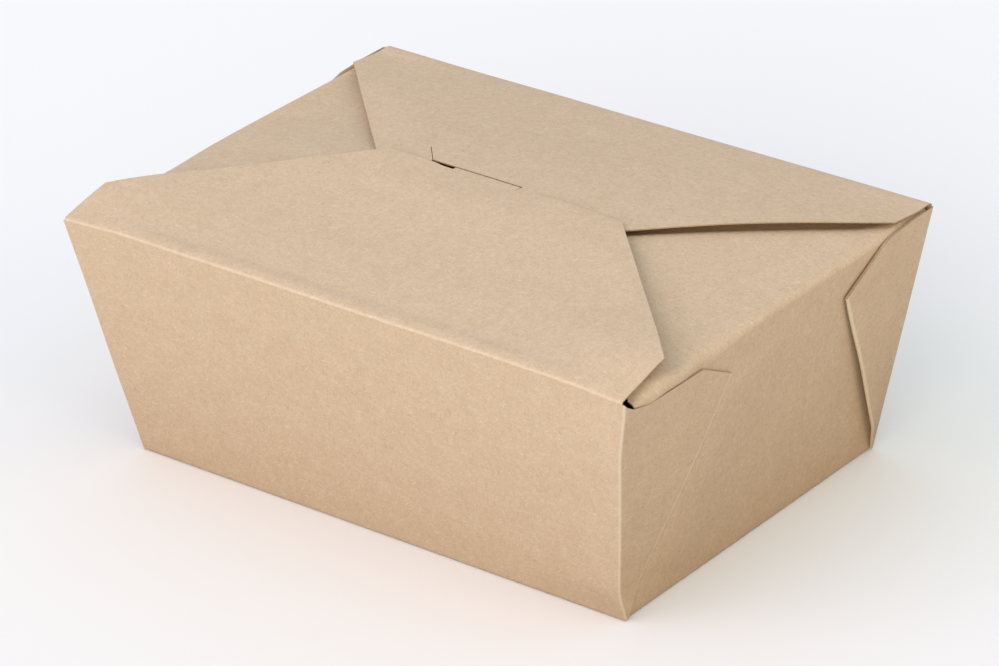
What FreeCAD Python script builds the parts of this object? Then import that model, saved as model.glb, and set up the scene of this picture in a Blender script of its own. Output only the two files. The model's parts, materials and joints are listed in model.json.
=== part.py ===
import FreeCAD, Part
import math
import os

import Sketcher

# Takeaway box folded from one kraft board blank, closed with its lid flaps.
# +Z is up, +X runs along the length, and the front of the box faces -Y.
# The origin is the middle of the underside. Lengths are in millimetres, angles in degrees.

SIZES = [
    # Box outside, over the folds.
    ("rim_length", 226.0),
    ("rim_width", 164.0),
    ("base_length", 198.0),
    ("base_width", 134.5),
    ("rim_height", 86.5),
    ("board", 0.45),
    # End walls, and the corner webs folded double and glued flat against them.
    ("end_drop", 1.2),
    ("web_heel", 1.0),
    ("front_web_tip_height", 73.0),
    ("front_web_drop", 5.9),
    ("front_web_shoulder", 39.0),
    ("front_web_corner", 12.7),
    # The back webs are folded a little steeper than the front ones.
    ("back_web_turn", 5.6),
    ("back_web_tip_height", 72.7),
    ("back_web_drop", 1.8),
    ("back_web_shoulder", 26.8),
    ("back_web_corner", 23.6),
    # Long flaps: inset of their sides from the rim's ends, square side length, taper, tip rounding.
    ("flap_inset", 1.0),
    ("flap_side", 20.5),
    ("flap_taper", 45.0),
    ("tip_radius", 5.0),
    # Back flap: how far it ends past the box's middle, and its slope at the fold and the tip.
    ("back_past_middle", 12.0),
    ("back_slope", 9.0),
    ("back_tip_slope", -0.5),
    # End flaps, tapered from the fold on and inset from the rim's long sides.
    ("end_reach", 70.0),
    ("end_inset", 2.0),
    ("end_side", 1.0),
    ("end_slope", 8.5),
    ("end_tip_slope", 2.5),
    # Front flap: bent next to its fold, then easing to level, over the back flap's tip.
    ("front_past_middle", 3.5),
    ("front_bend", 35.0),
    ("front_mid_slope", 3.0),
    ("front_tip_slope", 0.0),
    ("fold_gap", 0.3),
    ("lid_gap", 0.5),
    # Lock tab of the front flap, and the slit of the back flap that it drops into.
    ("tab_left", -20.0),
    ("tab_right", 6.2),
    ("tab_reach", 2.2),
    ("tab_drop", 12.0),
    ("tab_bend", 0.9),
    ("tab_corner", 3.0),
    ("slit_left", -30.3),
    ("slit_clearance", 0.3),
    ("leg_length", 10.6),
    ("leg_angle", 48.0),
    ("leg_cut", 0.35),
]

# Derived lengths, as expressions of the sheet's cells.
HALF_RIM_LENGTH = "(Sizes.rim_length / 2)"
HALF_RIM_WIDTH = "(Sizes.rim_width / 2)"
HALF_BASE_LENGTH = "(Sizes.base_length / 2)"
HALF_BASE_WIDTH = "(Sizes.base_width / 2)"
END_LEAN = f"(({HALF_RIM_LENGTH} - {HALF_BASE_LENGTH}) / Sizes.rim_height)"
SIDE_LEAN = f"(({HALF_RIM_WIDTH} - {HALF_BASE_WIDTH}) / Sizes.rim_height)"
END_SLANT = f"(Sizes.rim_height * sqrt(1 + {END_LEAN}^2))"
SIDE_SLANT = f"(Sizes.rim_height * sqrt(1 + {SIDE_LEAN}^2))"
# At each end lie three layers of board: the wall, and the doubled web outside it.
WEB_LAYERS = "(2 * Sizes.board)"
END_LAYERS = "(3 * Sizes.board)"
# The front flap turns about the outer skin of its fold, clear of the wall's top.
HINGE_Z = "(Sizes.rim_height + Sizes.fold_gap + Sizes.board)"
# The flaps follow the rim.
FLAP_HALF_WIDTH = f"({HALF_RIM_LENGTH} - Sizes.flap_inset)"
END_HALF_WIDTH = f"({HALF_RIM_WIDTH} - Sizes.end_inset)"
BACK_REACH = f"({HALF_RIM_WIDTH} + Sizes.back_past_middle)"
FRONT_REACH = f"({HALF_RIM_WIDTH} + Sizes.front_past_middle)"
# The lock tab is bent to a circle about the front fold, so it leaves its slit cleanly.
TAB_RADIUS = f"({FRONT_REACH} + Sizes.tab_reach)"

doc = FreeCAD.newDocument("takeaway_box")
sizes = doc.addObject("Spreadsheet::Sheet", "Sizes")
for row, (alias, size) in enumerate(SIZES, start=1):
    sizes.set(f"A{row}", alias)
    sizes.set(f"B{row}", str(size))
    sizes.setAlias(f"B{row}", alias)
doc.recompute()


def value(text):
    """The present value of an expression."""
    return float(sizes.evalExpression(text))


def negative(text):
    return f"(0 - {text})"


def origin_plane(body, role):
    """One of the body's own origin planes."""
    return next(item for item in body.Origin.OriginFeatures if item.Role == role)


def new_sketch(body, name, role, lift=None, tilt=None):
    """A sketch on an origin plane, lifted along its normal and tilted about its first axis."""
    sketch = body.newObject("Sketcher::SketchObject", name)
    sketch.AttachmentSupport = [(origin_plane(body, role), "")]
    sketch.MapMode = "FlatFace"
    if tilt:
        turn = FreeCAD.Rotation(FreeCAD.Vector(1, 0, 0), value(tilt))
        sketch.AttachmentOffset = FreeCAD.Placement(FreeCAD.Vector(), turn)
        sketch.setExpression("AttachmentOffset.Rotation.Angle", tilt)
    if lift:
        sketch.setExpression("AttachmentOffset.Base.z", lift)
    return sketch


def constrain(sketch, kind, elements, text):
    """Adds a dimension whose size is an expression."""
    index = sketch.addConstraint(Sketcher.Constraint(kind, *elements, value(text)))
    sketch.setExpression(f"Constraints[{index}]", text)


def arc_between(start, end, radius, turn):
    """The short arc from start to end that turns left for 1 and right for -1."""
    chord = end - start
    height = math.sqrt(radius**2 - (chord.Length / 2) ** 2)
    left = FreeCAD.Vector(-chord.y, chord.x, 0).normalize()
    centre = (start + end) / 2 + left * (height * turn)
    first, last = (start, end) if turn > 0 else (end, start)
    angles = [math.atan2(point.y - centre.y, point.x - centre.x) for point in (first, last)]
    return Part.ArcOfCircle(Part.Circle(centre, FreeCAD.Vector(0, 0, 1), radius), *angles)


def draw_outline(sketch, corners):
    """Draws a closed outline through corners given as (x, y) or (x, y, turn, radius).

    All but turn are expressions. A corner with a turn and a radius starts an arc,
    to the left for 1 and to the right for -1.
    """
    points = [FreeCAD.Vector(value(corner[0]), value(corner[1]), 0) for corner in corners]
    edges = []
    for index, (x, y, *arc) in enumerate(corners):
        start = points[index]
        end = points[(index + 1) % len(points)]
        if arc:
            turn, radius = arc
            edge = sketch.addGeometry(arc_between(start, end, value(radius), turn))
            ends = (1, 2) if turn > 0 else (2, 1)
            constrain(sketch, "Radius", (edge,), radius)
        else:
            edge = sketch.addGeometry(Part.LineSegment(start, end))
            ends = (1, 2)
        constrain(sketch, "DistanceX", (-1, 1, edge, ends[0]), x)
        constrain(sketch, "DistanceY", (-1, 1, edge, ends[0]), y)
        edges.append((edge, *ends))
    for (edge, _, last), (following, first, _) in zip(edges, edges[1:] + edges[:1]):
        sketch.addConstraint(Sketcher.Constraint("Coincident", edge, last, following, first))


def mirrored(corners):
    """The outline on the other side of the sketch's second axis."""
    return [
        (negative(x), y, *([-arc[0], arc[1]] if arc else []))
        for x, y, *arc in corners
    ]


def rectangle(left, right, low, high):
    return [(left, low), (right, low), (right, high), (left, high)]


def middle_rectangle(half_length, half_width):
    """A rectangle about the sketch's origin."""
    return rectangle(negative(half_length), half_length, negative(half_width), half_width)


def loft(body, kind, name, lower, upper):
    feature = body.newObject(kind, name)
    feature.Profile = lower
    feature.Sections = [upper]
    feature.Ruled = True


def pad(body, name, sketch, length, symmetric=False):
    feature = body.newObject("PartDesign::Pad", name)
    feature.Profile = sketch
    feature.setExpression("Length", length)
    if symmetric:
        feature.SideType = "Symmetric"


def pocket(body, name, sketch, depth):
    """Cuts to a depth below the sketch."""
    feature = body.newObject("PartDesign::Pocket", name)
    feature.Profile = sketch
    feature.setExpression("Length", depth)
    return feature


def pocket_above(body, name, sketch):
    """Cuts through all that lies above the sketch."""
    feature = body.newObject("PartDesign::Pocket", name)
    feature.Profile = sketch
    feature.Type = "ThroughAll"
    feature.Reversed = True


def web_corners(side, turn):
    """The edge of a web from its heel up to the rim, drawn up the slant of the end wall."""
    edge_lean = f"(({HALF_RIM_WIDTH} - {HALF_BASE_WIDTH}) / {END_SLANT})"
    side_edge_lean = f"(({HALF_RIM_LENGTH} - {HALF_BASE_LENGTH}) / {SIDE_SLANT})"
    # Both layers of a web share the gap at the blank's corner, which sets the fold's slope.
    web_angle = f"((90 deg - atan({edge_lean}) - atan({side_edge_lean})) / 2)"
    fold_lean = f"tan({web_angle} - {turn} - atan({edge_lean}))"
    heel = f"({HALF_BASE_WIDTH} - Sizes.web_heel)"
    tip_height = f"Sizes.{side}_web_tip_height"
    top = f"({END_SLANT} - Sizes.{side}_web_drop)"
    top_edge = f"({HALF_BASE_WIDTH} + {edge_lean} * {top})"
    above = f"({END_SLANT} + Sizes.board)"
    return [
        (heel, negative("Sizes.board")),
        (heel, "(Sizes.board / 2)"),
        (f"({heel} - {fold_lean} * {tip_height})", tip_height),
        (f"({top_edge} - Sizes.{side}_web_shoulder)", top),
        (f"({top_edge} - Sizes.{side}_web_corner)", top),
        (f"({HALF_BASE_WIDTH} + {edge_lean} * {above} - Sizes.board)", above),
    ]


def bare_end_corners():
    """The part of an end wall between the webs and above them, drawn up the slant."""
    back = web_corners("back", "Sizes.back_web_turn * 1 deg")
    front = web_corners("front", "0 deg")
    return back + mirrored(front)[::-1]


def make_tub():
    """Base and four leaning walls, with the webs proud of the end walls."""
    body = doc.addObject("PartDesign::Body", "tub")
    outer_base = new_sketch(body, "outer_base", "XY_Plane")
    draw_outline(outer_base, middle_rectangle(HALF_BASE_LENGTH, HALF_BASE_WIDTH))
    outer_rim = new_sketch(body, "outer_rim", "XY_Plane", "Sizes.rim_height")
    draw_outline(outer_rim, middle_rectangle(HALF_RIM_LENGTH, HALF_RIM_WIDTH))
    loft(body, "PartDesign::AdditiveLoft", "outer_form", outer_base, outer_rim)

    # Where no web covers it, an end wall is set back by the web's two layers.
    bare_end = new_sketch(body, "bare_end", "YZ_Plane", HALF_BASE_LENGTH, f"atan({END_LEAN})")
    draw_outline(bare_end, bare_end_corners())
    set_back = pocket(body, "set_back", bare_end, WEB_LAYERS)
    both_ends = body.newObject("PartDesign::Mirrored", "both_ends")
    both_ends.Originals = [set_back]
    both_ends.MirrorPlane = (origin_plane(body, "YZ_Plane"), [""])
    body.Tip = both_ends

    floor_length = f"({HALF_BASE_LENGTH} + {END_LEAN} * Sizes.board - {END_LAYERS})"
    floor_width = f"({HALF_BASE_WIDTH} + {SIDE_LEAN} * Sizes.board - Sizes.board)"
    inner_floor = new_sketch(body, "inner_floor", "XY_Plane", "Sizes.board")
    draw_outline(inner_floor, middle_rectangle(floor_length, floor_width))
    opening_length = f"({HALF_RIM_LENGTH} - {END_LAYERS})"
    opening_width = f"({HALF_RIM_WIDTH} - Sizes.board)"
    inner_rim = new_sketch(body, "inner_rim", "XY_Plane", "Sizes.rim_height")
    draw_outline(inner_rim, middle_rectangle(opening_length, opening_width))
    loft(body, "PartDesign::SubtractiveLoft", "hollow", inner_floor, inner_rim)

    # The end creases lie a little below the long ones.
    end_tops = new_sketch(body, "end_tops", "XY_Plane", "Sizes.rim_height")
    inside = f"({opening_length} - {END_LAYERS})"
    outside = f"({HALF_RIM_LENGTH} + Sizes.board)"
    end_top = rectangle(inside, outside, negative(opening_width), opening_width)
    draw_outline(end_tops, end_top)
    draw_outline(end_tops, mirrored(end_top))
    pocket(body, "end_steps", end_tops, "Sizes.end_drop")
    return body


def arc_radius(run, slope, next_slope):
    """Radius of the arc whose slope eases from one angle to the next over a level run."""
    return f"({run} / (sin({slope}) - sin({next_slope})))"


def arc_rise(run, slope, next_slope):
    """Height that such an arc climbs: its chord has the mean of the two slopes."""
    return f"({run} * tan(({slope} + {next_slope}) / 2))"


def arched_section(arcs, root, tail=()):
    """Section of a flap one board thick, reaching along the first axis and arching up.

    arcs lists (run, slope, next slope) from the fold on, root is the corner where the
    underside starts, and tail holds the corners of what is bent down from the tip.
    """
    reach, rise = "0", "0"
    upper = []
    lower = []
    for arc in arcs:
        upper.append((reach, rise, -1, arc_radius(*arc)))
        reach = f"({reach} + {arc[0]})"
        rise = f"({rise} + {arc_rise(*arc)})"
        under_reach = f"({reach} + Sizes.board * sin({arc[2]}))"
        under_rise = f"({rise} - Sizes.board * cos({arc[2]}))"
        lower.append((under_reach, under_rise, 1, f"({arc_radius(*arc)} - Sizes.board)"))
    return upper + [(reach, rise)] + list(tail) + lower[::-1] + [root]


def taper_waste(half_width, side, reach, tip_left=None, beyond=None):
    """Plan of the waste beside a flap's taper and rounded tip, on the right.

    tip_left is where the waste past the tip ends, if not at the rounding.
    """
    taper = "Sizes.flap_taper"
    tip = f"({half_width} - ({reach} - {side}) / tan({taper}))"
    round_in = f"(Sizes.tip_radius * tan({taper} / 2))"
    round_start = (f"({tip} + {round_in} * cos({taper}))", f"({reach} - {round_in} * sin({taper}))")
    round_end = f"({tip} - {round_in})"
    outside = f"({half_width} + Sizes.board)"
    beyond = beyond or f"({reach} + 2 * Sizes.board)"
    corners = [(half_width, side), (*round_start, 1, "Sizes.tip_radius"), (round_end, reach)]
    if tip_left:
        corners.append((tip_left, reach))
    corners += [(tip_left or round_end, beyond), (outside, beyond), (outside, side)]
    return corners


def make_flap(name, section_corners, half_width, wastes):
    """A flap that folds along its own X axis and reaches along +Y."""
    body = doc.addObject("PartDesign::Body", name)
    section = new_sketch(body, f"{name}_section", "YZ_Plane")
    draw_outline(section, section_corners)
    pad(body, f"{name}_board", section, f"(2 * {half_width})", symmetric=True)
    # The plan is cut from below anything that is bent down.
    plan = new_sketch(body, f"{name}_plan", "XY_Plane", "(0 - Sizes.tab_drop)")
    for waste in wastes:
        draw_outline(plan, waste)
    pocket_above(body, f"{name}_outline", plan)
    return body


def root_in_wall(slope):
    """Where the underside of a flap starts inside the top of its wall."""
    return "Sizes.board", f"(Sizes.board * (tan({slope}) - 1 / cos({slope})))"


def place(piece, x, y, z, turn=0):
    """Stands a piece at expressions of the sheet, turned about the vertical."""
    piece.Placement = FreeCAD.Placement(FreeCAD.Vector(), FreeCAD.Rotation(turn, 0, 0))
    for axis, text in zip("xyz", (x, y, z)):
        piece.setExpression(f"Placement.Base.{axis}", text)


def make_end_flap(name, side):
    """One of the short flaps that fold in first, on the side of +X for 1 or -X for -1."""
    arc = ("Sizes.end_reach", "Sizes.end_slope", "Sizes.end_tip_slope")
    section = arched_section([arc], root_in_wall("Sizes.end_slope"))
    waste = taper_waste(END_HALF_WIDTH, "Sizes.end_side", "Sizes.end_reach")
    body = make_flap(name, section, END_HALF_WIDTH, [waste, mirrored(waste)])
    # The fold runs along the outer face of the end wall, which leans and is set back.
    drop = f"{END_LEAN} * Sizes.end_drop"
    set_back = f"{WEB_LAYERS} * sqrt(1 + {END_LEAN}^2)"
    fold = f"({side} * ({HALF_RIM_LENGTH} - {drop} - {set_back}))"
    place(body, fold, "0", "(Sizes.rim_height - Sizes.end_drop)", 90 * side)
    return body


def back_arc():
    return BACK_REACH, "Sizes.back_slope", "Sizes.back_tip_slope"


def front_rise():
    """Height of the front flap's tip over its fold, which clears the back flap's tip."""
    return f"({arc_rise(*back_arc())} + Sizes.lid_gap - Sizes.fold_gap)"


def front_arcs():
    """The bend next to the fold climbs what the rest of the flap leaves of the rise."""
    rest = (f"({FRONT_REACH} - Sizes.front_bend)", "Sizes.front_mid_slope", "Sizes.front_tip_slope")
    bend_rise = f"({front_rise()} - {arc_rise(*rest)})"
    slope = f"(2 * atan({bend_rise} / Sizes.front_bend) / 1 deg - Sizes.front_mid_slope)"
    return [("Sizes.front_bend", slope, "Sizes.front_mid_slope"), rest]


def slit_corners():
    """The lock slit in the back flap's own plan, with the slanted leg at its left end."""
    # At the height of the lid the tab's circle has leaned in from its full radius.
    lean_in = f"({TAB_RADIUS} - sqrt({TAB_RADIUS}^2 - {front_rise()}^2)) / 2"
    tab = f"(Sizes.rim_width - {TAB_RADIUS} + {lean_in})"
    far = f"({tab} - Sizes.slit_clearance)"
    near = f"({tab} + Sizes.board + Sizes.slit_clearance)"
    right = negative("(Sizes.tab_right + Sizes.slit_clearance)")
    left = negative("Sizes.slit_left")
    leg_near = f"({left} - Sizes.leg_cut)"
    leg_across = "Sizes.leg_length * cos(Sizes.leg_angle)"
    leg_end = f"({far} - Sizes.leg_length * sin(Sizes.leg_angle))"
    return [
        (right, far),
        (leg_near, far),
        (f"({leg_near} + {leg_across})", leg_end),
        (f"({left} + {leg_across})", leg_end),
        (left, far),
        (left, near),
        (right, near),
    ]


def make_back_flap():
    """The long flap under the front one, which holds the lock slit."""
    section = arched_section([back_arc()], root_in_wall("Sizes.back_slope"))
    waste = taper_waste(FLAP_HALF_WIDTH, "Sizes.flap_side", BACK_REACH)
    body = make_flap("back_flap", section, FLAP_HALF_WIDTH, [waste, mirrored(waste)])
    slit_plan = new_sketch(body, "slit_plan", "XY_Plane")
    draw_outline(slit_plan, slit_corners())
    pocket_above(body, "slit", slit_plan)
    place(body, "0", HALF_RIM_WIDTH, "Sizes.rim_height", 180)
    return body


def tab_tail():
    """The tab's section, from the tip's upper edge round its bend and down and back."""
    bend_height = f"({front_rise()} - Sizes.tab_bend)"
    foot = f"({front_rise()} - Sizes.tab_drop)"
    inner_radius = f"({TAB_RADIUS} - Sizes.board)"

    def on_circle(radius, height):
        return f"sqrt({radius}^2 - {height}^2)"

    bend_start = f"({on_circle(TAB_RADIUS, bend_height)} - Sizes.tab_bend)"
    return [
        (bend_start, front_rise(), -1, "Sizes.tab_bend"),
        (on_circle(TAB_RADIUS, bend_height), bend_height, -1, TAB_RADIUS),
        (on_circle(TAB_RADIUS, foot), foot),
        (on_circle(inner_radius, foot), foot, 1, inner_radius),
        (on_circle(inner_radius, bend_height), bend_height, 1, "(Sizes.tab_bend - Sizes.board)"),
        (bend_start, f"({front_rise()} - Sizes.board)"),
    ]


def foot_waste(edge):
    """The waste beside the rounded lower corner of the tab, on the right."""
    foot = f"({front_rise()} - Sizes.tab_drop)"
    round_top = f"({foot} + Sizes.tab_corner)"
    below = f"({foot} - Sizes.board)"
    outside = f"({edge} + Sizes.board)"
    return [
        (edge, round_top, -1, "Sizes.tab_corner"),
        (f"({edge} - Sizes.tab_corner)", foot),
        (f"({edge} - Sizes.tab_corner)", below),
        (outside, below),
        (outside, round_top),
    ]


def make_front_flap():
    """The long flap on top, with the lock tab bent down from its tip."""
    slope = front_arcs()[0][1]
    square_root = (f"(Sizes.board * sin({slope}))", f"(0 - Sizes.board * cos({slope}))")
    section = arched_section(front_arcs(), square_root, tab_tail())
    past_tab = f"({TAB_RADIUS} + Sizes.board)"
    plan = (FLAP_HALF_WIDTH, "Sizes.flap_side", FRONT_REACH)
    right = taper_waste(*plan, "Sizes.tab_right", past_tab)
    left = mirrored(taper_waste(*plan, negative("Sizes.tab_left"), past_tab))
    body = make_flap("front_flap", section, FLAP_HALF_WIDTH, [right, left])
    feet = new_sketch(body, "tab_feet", "XZ_Plane")
    draw_outline(feet, foot_waste("Sizes.tab_right"))
    draw_outline(feet, mirrored(foot_waste(negative("Sizes.tab_left"))))
    rounding = body.newObject("PartDesign::Pocket", "tab_rounding")
    rounding.Profile = feet
    rounding.Type = "ThroughAll"
    place(body, "0", negative(HALF_RIM_WIDTH), HINGE_Z)
    return body


def make_carton():
    """The folded blank in one solid: tub, end flaps and back flap."""
    carton = doc.addObject("Part::MultiFuse", "carton")
    end_flaps = [make_end_flap("end_flap_right", 1), make_end_flap("end_flap_left", -1)]
    carton.Shapes = [make_tub(), *end_flaps, make_back_flap()]
    return carton


nodes = [make_carton(), make_front_flap()]
doc.recompute()

for item in doc.Objects:
    if "Invalid" in item.State or "Error" in item.State:
        raise RuntimeError(f"{item.Label} did not build: {item.State}")
for node in nodes:
    shape = node.Shape
    if shape.isNull() or not shape.isValid() or len(shape.Solids) != 1:
        raise RuntimeError(f"{node.Label} is not one valid solid")

os.makedirs("parts", exist_ok=True)
for node in nodes:
    node.Shape.exportStep(f"parts/{node.Label}.step")
    print(node.Label, "volume", round(node.Shape.Volume), node.Shape.BoundBox)
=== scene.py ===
import json
import math

import bmesh
import bpy
from mathutils import Matrix, Vector, noise


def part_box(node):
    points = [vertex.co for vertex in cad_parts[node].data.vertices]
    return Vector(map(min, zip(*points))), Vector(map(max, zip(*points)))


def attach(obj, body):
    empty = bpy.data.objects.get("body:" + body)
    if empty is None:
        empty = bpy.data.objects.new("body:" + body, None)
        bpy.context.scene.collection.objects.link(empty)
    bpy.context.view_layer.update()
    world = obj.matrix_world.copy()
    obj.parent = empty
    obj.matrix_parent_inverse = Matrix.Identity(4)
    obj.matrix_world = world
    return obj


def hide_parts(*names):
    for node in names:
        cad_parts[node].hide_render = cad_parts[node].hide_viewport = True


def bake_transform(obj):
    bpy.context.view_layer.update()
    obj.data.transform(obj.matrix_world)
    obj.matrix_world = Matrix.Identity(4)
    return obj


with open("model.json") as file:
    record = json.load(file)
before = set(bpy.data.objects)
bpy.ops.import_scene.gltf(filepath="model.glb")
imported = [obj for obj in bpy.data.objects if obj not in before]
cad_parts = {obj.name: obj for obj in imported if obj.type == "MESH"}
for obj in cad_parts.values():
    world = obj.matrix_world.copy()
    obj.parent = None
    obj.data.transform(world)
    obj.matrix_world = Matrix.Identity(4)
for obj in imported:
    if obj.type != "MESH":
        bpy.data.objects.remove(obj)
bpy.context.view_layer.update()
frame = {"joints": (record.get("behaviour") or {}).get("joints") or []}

# Kraft takeaway box, folded from one sheet of board.
# The board's middle surface is modelled folded, in millimetres, then given its thickness.
# Sections of the walls are drawn as (out, up): out runs from the box's middle to the side.
# Each strain of the board fades in and out over ranges of places, given where it is used.

MM = 0.001

# Sizes taken from the frame.
RIM_HALF_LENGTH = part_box("carton")[1].x / MM
RIM_HALF_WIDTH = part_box("carton")[1].y / MM
FRONT_HINGE_HEIGHT = frame["joints"][0]["pos_m"][2] / MM

# Box and board.
BASE_HALF_LENGTH = 99.0
BASE_HALF_WIDTH = 67.25
RIM_HEIGHT = 86.5
END_DROP = 1.2
BOARD = 0.45
LAYER_GAP = 0.03
END_CLEARANCE = 0.3
CREASE_RADIUS = 0.8
# Radii of the upright corners, low and high, and the heights between which they change.
CORNER_RADII = (0.6, 0.8)
CORNER_SOFTENS = (35.0, 80.0)

# Long flaps: plan of their outline, and slopes in degrees along their reach.
FLAP_INSET = 1.0
FLAP_SIDE = 20.5
TIP_RADIUS = 5.0
BACK_PAST_MIDDLE = 12.0
BACK_SLOPES = (9.0, -0.5)
FRONT_PAST_MIDDLE = 3.5
FRONT_BEND = 35.0
FRONT_SLOPES = (15.97, 3.0, 0.0)
FRONT_RIGHT_INSET = 0.5
BACK_LEFT_INSET = 3.0
# Where the front flap starts on the flat blank, past the base's edge.
FRONT_FLAP_ALONG = 88.0

# End flaps: insets at the back and the front, taper, reach, slopes, and the soft roll over the
# end wall's top, which is wider at one place near the front.
END_INSETS = {1: 2.6, -1: 6.8}
END_TAPER_START = 4.0
END_REACH = 70.0
END_SLOPES = (8.5, 2.5)
END_ROLL = 1.9
NEAR_ROLL = 1.6
NEAR_ROLL_PLACE = -34.0
NEAR_ROLL_SPREAD = 14.0

# Lock: the tab on the front flap, and the slit with its slanted leg in the back flap.
TAB_LEFT = -20.0
TAB_RIGHT = 6.2
TAB_BEND = 0.9
TAB_DROP = 12.0
TAB_REACH = 2.2
TAB_CORNER = 3.0
SLIT_LEFT = -30.3
SLIT_RIGHT = 6.5
SLIT_NEAR = 4.75
SLIT_FAR = 5.8
LEG_LENGTH = 10.6
LEG_ANGLE = 48.0
LEG_CUT = 0.22
TAB_NICK = 1.9

# Webs: heel and tip of the fold, the corners of the cut above it, as (out, up), and how far
# the fold stands off the end wall at its heel, half way up and at its tip.
FRONT_WEB = {
    "heel": (66.3, 0.0),
    "tip": (25.9, 72.1),
    "cut": ((25.9, 72.1), (42.2, 80.7), (68.5, 80.6), (76.5, 82.5), (80.2, 84.8), (81.9, 86.6)),
    "stand_off": (0.05, 0.05, 0.05),
}
BACK_WEB = {
    "heel": (66.4, 0.0),
    "tip": (35.0, 71.8),
    "cut": ((35.0, 71.8), (37.0, 73.3), (53.6, 83.6), (58.0, 84.7), (81.9, 86.4)),
    "stand_off": (2.3, 2.1, 0.8),
}
# Heights of a web's heel, middle and tip, and the width over which it rises to its stand-off.
WEB_LIFT_HEIGHTS = (5.0, 36.0, 68.0)
WEB_LIFT_WIDTH = 7.0

# How far the real sheet strays from the ideal folds, at most.
RIM_BOW = (0.75, -0.4)
FRONT_HOLLOW = 2.1
FRONT_CORNER_LIFT = 1.0
LOCK_LIFT = 1.0
TAB_PRESS = 0.9
TONGUE_DIP = 1.0
BACK_CORNER_DROP = 1.35
BACK_LEFT_DROP = 1.6
END_FRONT_DIP = 1.5
END_BACK_DIP = 2.4
END_UNDER_DIP = 2.6
END_FOLD_BULGE = 1.5
END_CORNER_HUMP = 1.6
END_CORNER_DIP = 2.2
CORNER_BOW = 2.0
CORNER_BOW_WAY = Vector((-0.78, -0.63, 0))
END_WALL_SWELL = 0.7
BOARD_WAVE = 0.22
BOARD_WAVE_SCALE = 0.021
BOARD_WAVE_SHIFTS = (Vector((9.3, -1.5, -7.9)), Vector((-5.2, 6.4, 3.7)), Vector((2.8, 8.1, -4.6)))

# Colours, linear.
KRAFT_PINK = (0.72, 0.541, 0.385)
KRAFT_OLIVE = (0.687, 0.541, 0.376)
KRAFT_DEEP = (0.50, 0.345, 0.205)
FIBRE_LIGHT = (0.80, 0.66, 0.50)
FIBRE_DARK = (0.42, 0.29, 0.18)
# Folds are paler from worn fibre, and partly from a painted highlight of the rounded fold.
CREASE_PALE = (0.82, 0.69, 0.54)
# Cut edges: the pulp's own brown, darkened as painted shade for gaps under flap edges and the slit.
CUT_BROWN_AND_SHADE = (0.50, 0.36, 0.23)
CUT_DEEP_BROWN_AND_SHADE = (0.34, 0.22, 0.13)
FLOOR_SEEN = (0.94, 0.925, 0.91)
FLOOR_BOUNCE_NEAR = (0.13, 0.05, 0.0)
FLOOR_BOUNCE_FAR = (0.62, 0.64, 0.70)
FLOOR_BOUNCE_REACH = (0.0, 0.16)
# Fold paleness, worn fibre and a painted highlight, and its width in millimetres along a web's
# fold.
CORNER_WEAR_AND_HIGHLIGHT = 0.8
RIM_WEAR_AND_HIGHLIGHT = 0.22
FOLD_PALE_WIDTH = 1.2
# Fibres: turn on the blank in degrees, length and width in millimetres, and whether pale.
FIBRES = (
    (4, 4.2, 0.45, True),
    (-32, 3.2, 0.40, False),
    (41, 3.6, 0.42, True),
    (88, 3.4, 0.42, False),
)

# Lamps: azimuth and elevation in degrees, strength as a share of pi, and colour.
LAMPS = {
    "left_lamp": (-30.0, 30.0, 0.28, (1.0, 0.69, 0.82)),
    "front_lamp": (20.0, 10.0, 0.52, (1.0, 1.0, 0.76)),
    "right_lamp": (90.0, 15.0, 0.20, (1.0, 0.52, 0.03)),
}
LAMP_SPREAD = 50.0
SKY = (0.71, 0.80, 0.88)
FLOOR_HALF_SIZE = 6.0

# Camera: azimuth, elevation and roll in degrees, the origin's place seen from it, and its focal
# length in pixels of a picture that is this wide.
CAMERA_ANGLES = (39.0, 27.22, -2.28)
CAMERA_SHIFT = (2.2, -37.9, -1690.2)
CAMERA_FOCAL = 5170
PICTURE_WIDTH = 999
SENSOR_WIDTH = 36.0

# Grid steps of the sheet. The wall's rows crowd towards its top.
LENGTH_STEPS = 56
WIDTH_STEPS = 64
WALL_STEPS = 52
WALL_CROWDING = 1.3
# In millimetres: how near points are welded, and how near a plane a point counts as on it.
WELD_DISTANCE = 0.002
CUT_TOLERANCE = 0.0005
FOLD_STEPS = 6
FLAP_STEPS = 24
WEB_STEPS = 12

# Panels, so that a cut reaches only its own. The end flaps are named by their end.
BASE, FRONT_WALL, BACK_WALL, END_WALL, WEB, BACK_FLAP, FRONT_FLAP, TAB = range(8)
END_FLAPS = {1: 8, -1: 9}


def smooth(low, high, x):
    """0 below low, 1 above high, and an even passage between them."""
    share = min(max((x - low) / (high - low), 0.0), 1.0)
    return share * share * (3 - 2 * share)


def lean_point(base_half, rim_half, height):
    """Where an outer wall plane lies at a height, as its distance from the middle."""
    return base_half + (rim_half - base_half) * height / RIM_HEIGHT


def meet(point_a, way_a, point_b, way_b):
    """Where two lines of a section meet."""
    across = point_b - point_a
    share = (across.x * way_b.y - across.y * way_b.x) / (way_a.x * way_b.y - way_a.y * way_b.x)
    return point_a + way_a * share


def fold_arc(corner, way_in, way_out, radius):
    """Points of the arc that rounds a fold, both tangent points included."""
    turn = math.atan2(way_in.x * way_out.y - way_in.y * way_out.x, way_in.dot(way_out))
    start = corner - way_in * radius * math.tan(abs(turn) / 2)
    side = Vector((-way_in.y, way_in.x)) * math.copysign(radius, turn)
    centre = start + side
    return [
        centre + Matrix.Rotation(turn * step / FOLD_STEPS, 2) @ (start - centre)
        for step in range(FOLD_STEPS + 1)
    ]


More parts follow.
